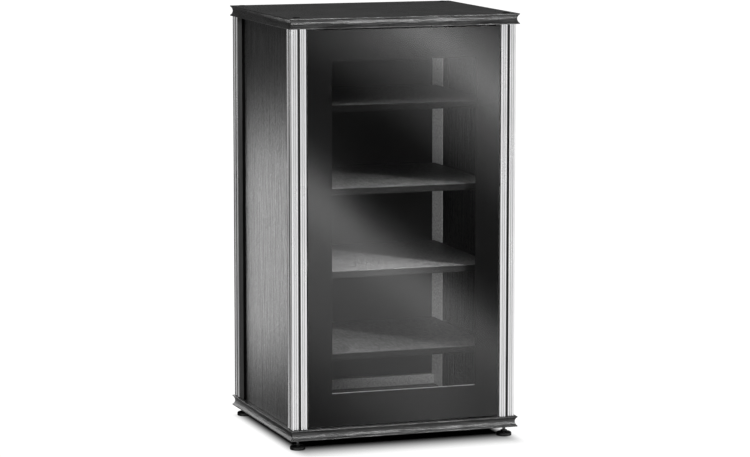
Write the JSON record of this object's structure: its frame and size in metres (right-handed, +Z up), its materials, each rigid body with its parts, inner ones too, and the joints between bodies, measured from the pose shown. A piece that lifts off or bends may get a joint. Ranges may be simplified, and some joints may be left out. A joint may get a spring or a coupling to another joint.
{
  "type": "media cabinet",
  "caption": "Tall media cabinet with coved slabs, slotted aluminium corner posts, a smoked-glass door on pivots, fixed shelves and levelling feet.",
  "frame": {"origin": "on the floor, under the middle of the cabinet's bounding box", "axes": "+Z up, the door faces -Y, +X towards the door's free edge"},
  "size_m": [0.59, 0.504, 1.0538],
  "materials": {
    "black_ash": "black-stained ash veneer, satin lacquer, open grain",
    "satin_aluminium": "satin anodised extrusion with fine flutes",
    "aluminium_trim": "satin anodised trim",
    "back_black": "black matt painted sheet",
    "shelf_black": "black finely mottled melamine on board",
    "smoked_glass": "smoked tempered glass with an opaque black border",
    "dark_steel": "black zinc-plated steel",
    "black_plastic": "moulded, fine texture",
    "foot_black": "black lacquered steel disc"
  },
  "bodies": {
    "cabinet": {"back_panel": "back_black", "back_screw_lower_left": "dark_steel", "back_screw_lower_right": "dark_steel", "back_screw_upper_left": "dark_steel", "back_screw_upper_right": "dark_steel", "base_panel": "black_ash", "bolt_cap_front_left": "black_plastic", "bolt_cap_front_right": "black_plastic", "bolt_cap_rear_left": "black_plastic", "bolt_cap_rear_right": "black_plastic", "coupling_nut_front_left": "dark_steel", "coupling_nut_front_right": "dark_steel", "coupling_nut_rear_left": "dark_steel", "coupling_nut_rear_right": "dark_steel", "latch_body": "black_plastic", "pivot_bush_lower": "black_plastic", "pivot_bush_upper": "black_plastic", "post_front_left": "satin_aluminium", "post_front_right": "satin_aluminium", "post_rear_left": "satin_aluminium", "post_rear_right": "satin_aluminium", "rear_cover_left": "aluminium_trim", "rear_cover_right": "aluminium_trim", "rear_sill": "aluminium_trim", "rear_stile_left": "black_ash", "rear_stile_right": "black_ash", "shelf_1": "shelf_black", "shelf_2": "shelf_black", "shelf_3": "shelf_black", "shelf_4": "shelf_black", "shelf_rail_1_left": "dark_steel", "shelf_rail_1_right": "dark_steel", "shelf_rail_2_left": "dark_steel", "shelf_rail_2_right": "dark_steel", "shelf_rail_3_left": "dark_steel", "shelf_rail_3_right": "dark_steel", "shelf_rail_4_left": "dark_steel", "shelf_rail_4_right": "dark_steel", "side_panel_left": "black_ash", "side_panel_right": "black_ash", "tie_rod_front_left": "dark_steel", "tie_rod_front_right": "dark_steel", "tie_rod_rear_left": "dark_steel", "tie_rod_rear_right": "dark_steel", "top_panel": "black_ash"},
    "door": {"door_glass": "smoked_glass", "door_hinge_lower": "dark_steel", "door_hinge_upper": "dark_steel", "strike_plate": "dark_steel"},
    "latch_button": {"latch_plunger": "black_plastic"},
    "foot_front_left": {"foot_pad_front_left": "foot_black"},
    "stem_front_left": {"foot_stem_front_left": "dark_steel"},
    "foot_front_right": {"foot_pad_front_right": "foot_black"},
    "stem_front_right": {"foot_stem_front_right": "dark_steel"},
    "foot_rear_left": {"foot_pad_rear_left": "foot_black"},
    "stem_rear_left": {"foot_stem_rear_left": "dark_steel"},
    "foot_rear_right": {"foot_pad_rear_right": "foot_black"},
    "stem_rear_right": {"foot_stem_rear_right": "dark_steel"}
  },
  "joints": [
    {"name": "door_swing", "type": "hinge", "parent": "cabinet", "child": "door", "pos_m": [-0.2278, -0.2345, 0.5385], "axis": [0, 0, -1], "range_deg": [0, 105]},
    {"name": "latch_press", "type": "slide", "parent": "cabinet", "child": "latch_button", "axis": [0, 1, 0], "range_m": [0, 0.003], "stiffness_N_per_m": 1500, "springref_m": -0.001},
    {"name": "foot_lift_front_left", "type": "slide", "parent": "cabinet", "child": "foot_front_left", "axis": [0, 0, -1], "range_m": [-0.005, 0.005]},
    {"name": "foot_turn_front_left", "type": "hinge", "parent": "foot_front_left", "child": "stem_front_left", "pos_m": [-0.269, -0.224, 0.012], "axis": [0, 0, -1], "range_deg": [-1445, 1445]},
    {"name": "foot_lift_front_right", "type": "slide", "parent": "cabinet", "child": "foot_front_right", "axis": [0, 0, -1], "range_m": [-0.005, 0.005]},
    {"name": "foot_turn_front_right", "type": "hinge", "parent": "foot_front_right", "child": "stem_front_right", "pos_m": [0.269, -0.224, 0.012], "axis": [0, 0, -1], "range_deg": [-1445, 1445]},
    {"name": "foot_lift_rear_left", "type": "slide", "parent": "cabinet", "child": "foot_rear_left", "axis": [0, 0, -1], "range_m": [-0.005, 0.005]},
    {"name": "foot_turn_rear_left", "type": "hinge", "parent": "foot_rear_left", "child": "stem_rear_left", "pos_m": [-0.269, 0.229, 0.012], "axis": [0, 0, -1], "range_deg": [-1445, 1445]},
    {"name": "foot_lift_rear_right", "type": "slide", "parent": "cabinet", "child": "foot_rear_right", "axis": [0, 0, -1], "range_m": [-0.005, 0.005]},
    {"name": "foot_turn_rear_right", "type": "hinge", "parent": "foot_rear_right", "child": "stem_rear_right", "pos_m": [0.269, 0.229, 0.012], "axis": [0, 0, -1], "range_deg": [-1445, 1445]}
  ],
  "couplings": [
    {"joint": "foot_turn_front_left", "follows": "foot_lift_front_left", "rad_per_m": 5026.5},
    {"joint": "foot_turn_front_right", "follows": "foot_lift_front_right", "rad_per_m": 5026.5},
    {"joint": "foot_turn_rear_left", "follows": "foot_lift_rear_left", "rad_per_m": 5026.5},
    {"joint": "foot_turn_rear_right", "follows": "foot_lift_rear_right", "rad_per_m": 5026.5}
  ]
}
